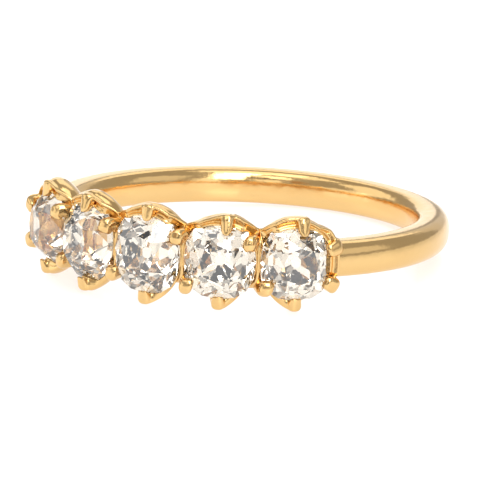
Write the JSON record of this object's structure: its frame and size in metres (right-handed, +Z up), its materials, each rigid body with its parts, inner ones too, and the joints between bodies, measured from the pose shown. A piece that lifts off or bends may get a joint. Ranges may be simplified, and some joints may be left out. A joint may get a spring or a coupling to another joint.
{
  "type": "five stone ring",
  "caption": "Half hoop finger ring: cushion cut stones in a row of scalloped claw cups on a plain rounded gold band.",
  "frame": {"origin": "middle of the base of the bounding box, on the surface that the ring rests on", "axes": "+Z up from that surface, -Y the way the stones face, +X to the right along the row seen from the stones"},
  "size_m": [0.0208, 0.0218, 0.0053],
  "materials": {
    "gold": "polished 18 carat yellow gold",
    "diamond": "old mine cut diamond, polished facets"
  },
  "bodies": {
    "root": {"ring_mount": "gold", "stone_left_end": "diamond", "stone_left": "diamond", "stone_centre": "diamond", "stone_right": "diamond", "stone_right_end": "diamond"}
  },
  "joints": []
}
